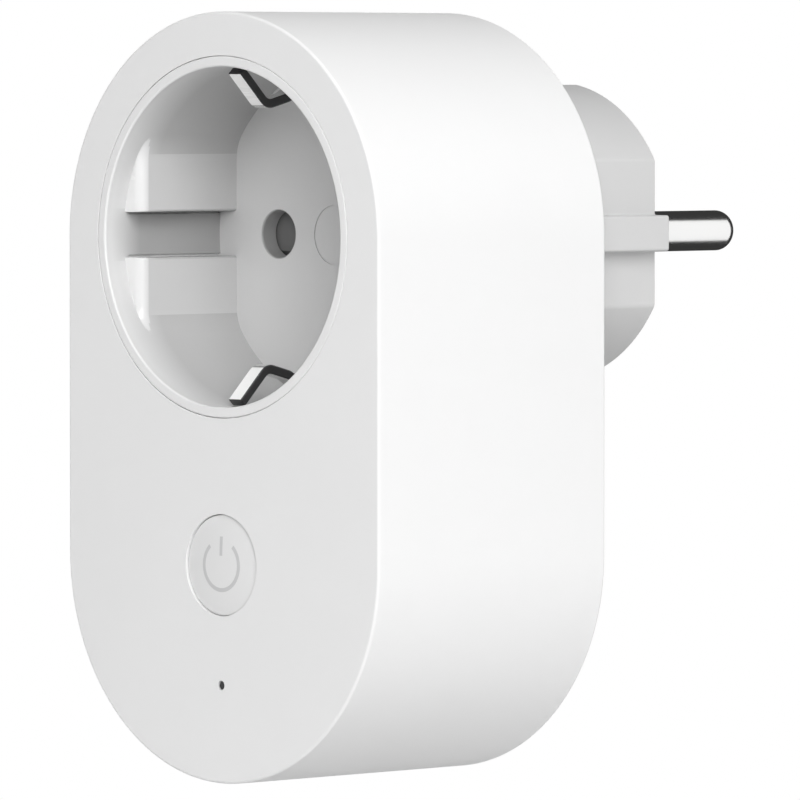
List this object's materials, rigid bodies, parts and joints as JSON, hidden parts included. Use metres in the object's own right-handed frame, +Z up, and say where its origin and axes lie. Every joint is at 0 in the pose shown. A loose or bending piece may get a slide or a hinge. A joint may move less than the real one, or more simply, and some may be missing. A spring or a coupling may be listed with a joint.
{
  "type": "smart plug",
  "caption": "Wall-plug adapter with a round earthed socket recess in front, a power button and status light below it, and two round pins on a boss behind.",
  "frame": {"origin": "midway between the two plug pins, on the end face of the plug boss", "axes": "+Y along the plug pins into the wall, +Z up, +X to the right of someone who faces the socket; the front face looks towards -Y"},
  "size_m": [0.0516, 0.0742, 0.0885],
  "materials": {
    "shell_white": "fine satin moulding",
    "insert_white": "smooth moulding",
    "symbol_grey": "inlaid plastic",
    "smoked_light": "smoked light guide",
    "carrier_grey": "glass-filled moulding",
    "shutter_grey": "plain moulding",
    "nickel": "nickel plate",
    "spring_steel": "stainless spring strip",
    "zinc_steel": "zinc plate",
    "contact_brass": "rolled strip",
    "board_green": "solder mask",
    "board_blue": "solder mask",
    "part_black": "moulded epoxy",
    "relay_blue": "moulded case",
    "disc_blue": "dipped epoxy",
    "capacitor_yellow": "moulded case",
    "tape_yellow": "polyester tape",
    "ferrite": "ground ferrite",
    "fuse_brown": "moulded case",
    "choke_green": "varnished wire",
    "led_white": "moulded lens"
  },
  "bodies": {
    "chassis": {"outer_housing": "shell_white", "socket_insert": "insert_white", "rear_cover": "shell_white", "plug_boss": "shell_white", "contact_carrier": "carrier_grey", "shutter_spring": "spring_steel", "earth_bridge": "contact_brass", "contact_left": "contact_brass", "contact_right": "contact_brass", "plug_pin_left": "nickel", "plug_pin_right": "nickel", "earth_strip_top": "nickel", "earth_strip_bottom": "nickel", "earth_sleeve": "nickel", "switch_body": "part_black", "led": "led_white", "light_pipe": "smoked_light", "main_pcb": "board_green", "relay": "relay_blue", "transformer_core": "ferrite", "transformer_coil": "tape_yellow", "bulk_capacitors": "part_black", "x_capacitor": "capacitor_yellow", "bridge_rectifier": "part_black", "fuse": "fuse_brown", "varistor": "disc_blue", "choke": "choke_green", "wifi_pcb": "board_blue", "wifi_shield": "zinc_steel", "live_link_in": "contact_brass", "live_link_out": "contact_brass", "neutral_link": "contact_brass", "rear_screws": "zinc_steel", "carrier_screws": "zinc_steel", "pcb_screws": "zinc_steel"},
    "button_cap": {"power_button": "shell_white", "power_symbol": "symbol_grey"},
    "tact_plunger": {"switch_plunger": "part_black"},
    "shutter_slider": {"shutter": "shutter_grey"},
    "top_clip": {"earth_clip_top": "nickel"},
    "bottom_clip": {"earth_clip_bottom": "nickel"}
  },
  "joints": [
    {"name": "button_press", "type": "slide", "parent": "chassis", "child": "button_cap", "axis": [0, 1, 0], "range_m": [0, 0.0005], "stiffness_N_per_m": 600, "springref_m": -0.0005},
    {"name": "switch_press", "type": "slide", "parent": "chassis", "child": "tact_plunger", "axis": [0, 1, 0], "range_m": [0, 0.0006]},
    {"name": "shutter_slide", "type": "slide", "parent": "chassis", "child": "shutter_slider", "axis": [0, 0, 1], "range_m": [0, 0.0062], "stiffness_N_per_m": 60, "springref_m": -0.003, "deforming": ["shutter_spring"]},
    {"name": "top_clip_flex", "type": "hinge", "parent": "chassis", "child": "top_clip", "pos_m": [0, -0.0336, 0.0197], "axis": [-1, 0, 0], "range_deg": [0, 3.4], "stiffness_Nm_per_rad": 0.05},
    {"name": "bottom_clip_flex", "type": "hinge", "parent": "chassis", "child": "bottom_clip", "pos_m": [0, -0.0336, -0.0197], "axis": [1, 0, 0], "range_deg": [0, 3.4], "stiffness_Nm_per_rad": 0.05}
  ],
  "couplings": [
    {"joint": "switch_press", "follows": "button_press", "ratio": 1}
  ]
}
